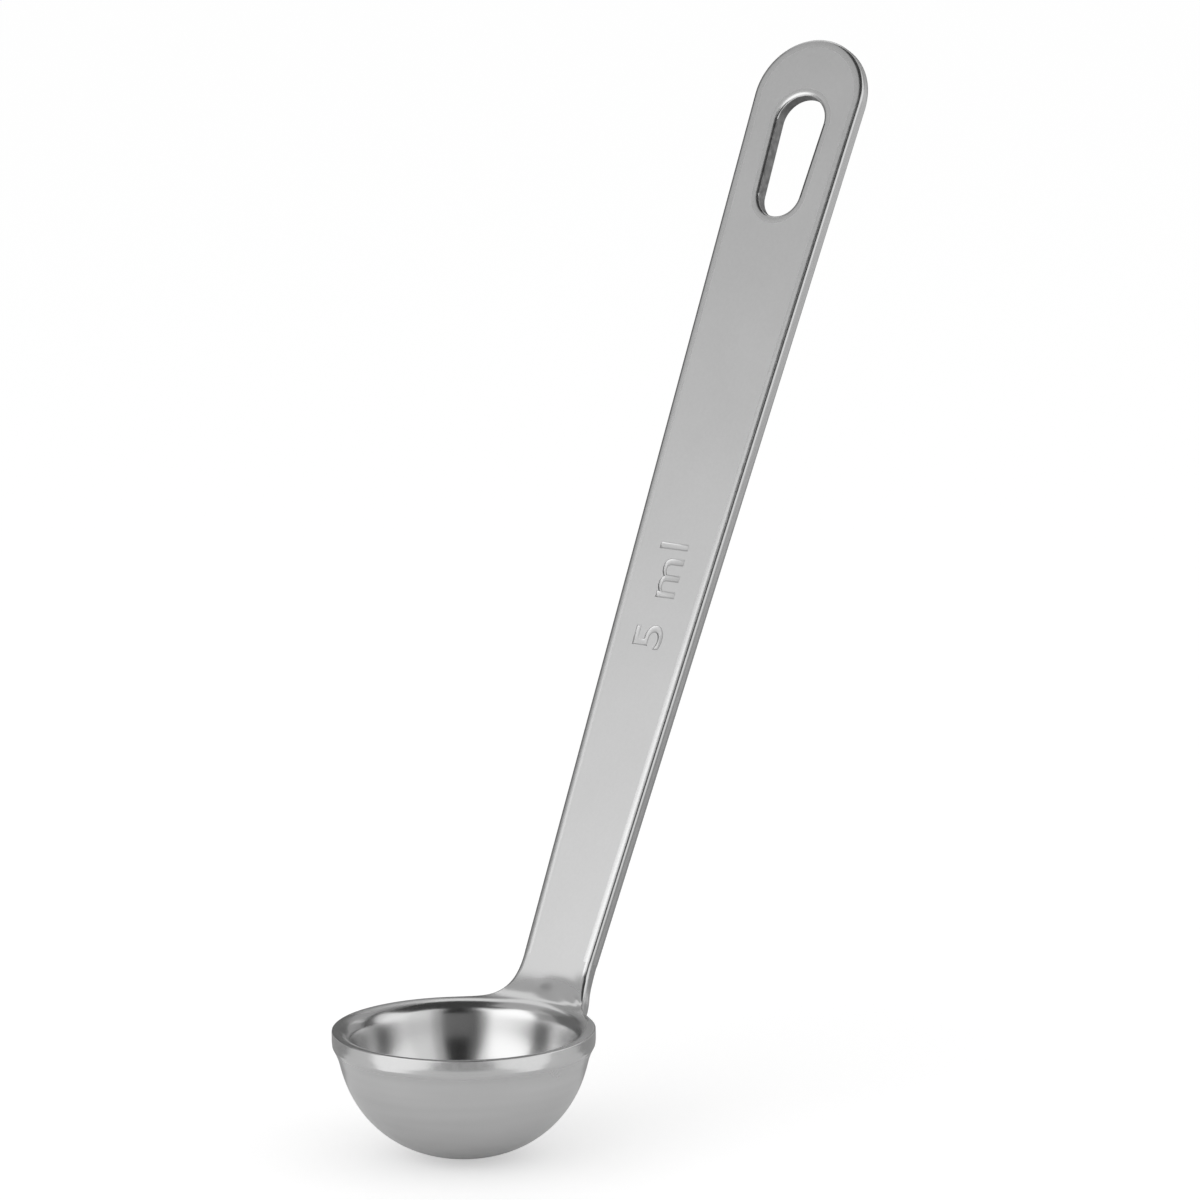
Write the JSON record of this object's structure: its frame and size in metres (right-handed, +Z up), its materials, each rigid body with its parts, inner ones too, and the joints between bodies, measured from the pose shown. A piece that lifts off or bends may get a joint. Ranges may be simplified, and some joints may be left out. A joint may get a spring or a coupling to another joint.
{
  "type": "measuring ladle",
  "caption": "Small measuring ladle in stainless sheet: deep round bowl with a narrow turned-out lip, bent-up neck and a flat tapered handle with a round end and a hanging slot.",
  "frame": {"origin": "lowest point of the bowl, in the middle of the small flat that it stands on", "axes": "+Z up along the bowl's axis with the lip level, +X from the bowl towards the leaning handle, +Y across the handle"},
  "size_m": [0.0943, 0.0308, 0.1202],
  "materials": {
    "bowl_steel": "satin outside, polished inside",
    "handle_steel": "satin, with polished rounded edges"
  },
  "bodies": {
    "root": {"bowl": "bowl_steel", "handle": "handle_steel"}
  },
  "joints": []
}
